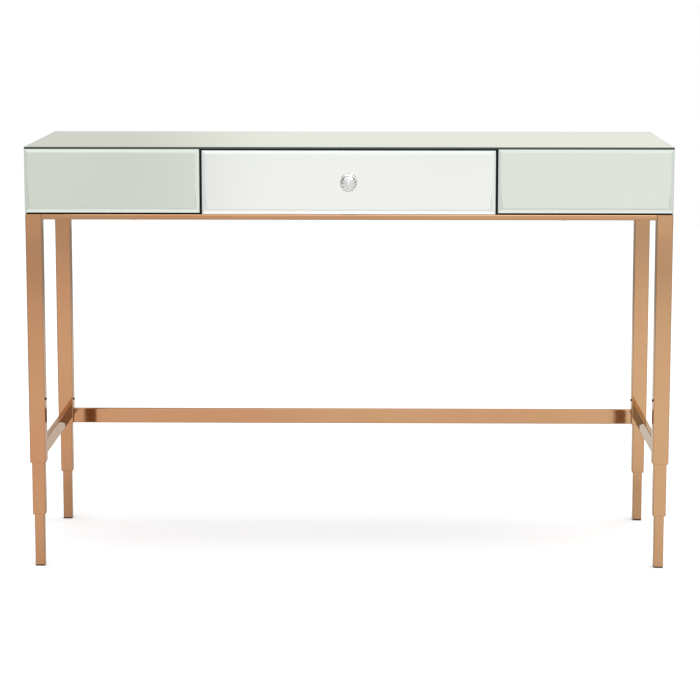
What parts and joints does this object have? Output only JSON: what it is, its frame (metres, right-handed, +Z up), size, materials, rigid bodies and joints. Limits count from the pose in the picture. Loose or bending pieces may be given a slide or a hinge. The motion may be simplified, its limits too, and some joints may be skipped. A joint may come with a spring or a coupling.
{
  "type": "mirrored dressing table",
  "caption": "Long shallow dressing table clad in bevelled mirror glass, with a centre drawer and a clear knob, on a plated tube frame with stepped square legs.",
  "frame": {"origin": "on the floor, under the centre of the whole outline measured over the knob", "axes": "+X along the table's length to the right as seen from the front, the drawer faces -Y, +Z up"},
  "size_m": [1.2, 0.4706, 0.795],
  "materials": {
    "plating": "polished rose-gold plating on welded steel tube",
    "board": "fibreboard in satin black paint",
    "mirror": "silvered clear glass with a wide shallow bevel and polished green edges",
    "steel": "zinc-plated rolled steel",
    "chrome": "bright chrome plating",
    "rubber": "matt black rubber",
    "nylon": "dark moulded nylon",
    "crystal": "clear cut crystal with polished facets"
  },
  "bodies": {
    "table": {"leg_upper_front_left": "plating", "leg_middle_front_left": "plating", "leg_lower_front_left": "plating", "leg_upper_front_right": "plating", "leg_middle_front_right": "plating", "leg_lower_front_right": "plating", "leg_upper_back_left": "plating", "leg_middle_back_left": "plating", "leg_lower_back_left": "plating", "leg_upper_back_right": "plating", "leg_middle_back_right": "plating", "leg_lower_back_right": "plating", "frame_rail_front": "plating", "frame_rail_back": "plating", "frame_rail_left": "plating", "frame_rail_right": "plating", "stretcher_left": "plating", "stretcher_right": "plating", "stretcher_back": "plating", "case_top": "board", "case_bottom": "board", "case_back": "board", "case_end_left": "board", "case_end_right": "board", "case_partition_left": "board", "case_partition_right": "board", "case_front_left": "board", "case_front_right": "board", "mirror_top": "mirror", "mirror_front_left": "mirror", "mirror_front_right": "mirror", "mirror_end_left": "mirror", "mirror_end_right": "mirror", "slide_case_left": "steel", "slide_case_right": "steel", "frame_screw_1": "steel", "frame_screw_2": "steel", "frame_screw_3": "steel", "frame_screw_4": "steel", "frame_screw_5": "steel", "frame_screw_6": "steel", "bumper_left": "rubber", "bumper_right": "rubber", "foot_glide_front_left": "nylon", "foot_glide_front_right": "nylon", "foot_glide_back_left": "nylon", "foot_glide_back_right": "nylon"},
    "drawer": {"mirror_drawer": "mirror", "drawer_front": "board", "drawer_side_left": "board", "drawer_side_right": "board", "drawer_box_front": "board", "drawer_back": "board", "drawer_bottom": "board", "slide_drawer_left": "steel", "slide_drawer_right": "steel", "knob_crystal": "crystal", "knob_collar": "chrome", "knob_screw": "steel"}
  },
  "joints": [
    {"name": "drawer_slide", "type": "slide", "parent": "table", "child": "drawer", "axis": [0, -1, 0], "range_m": [0, 0.28]}
  ]
}
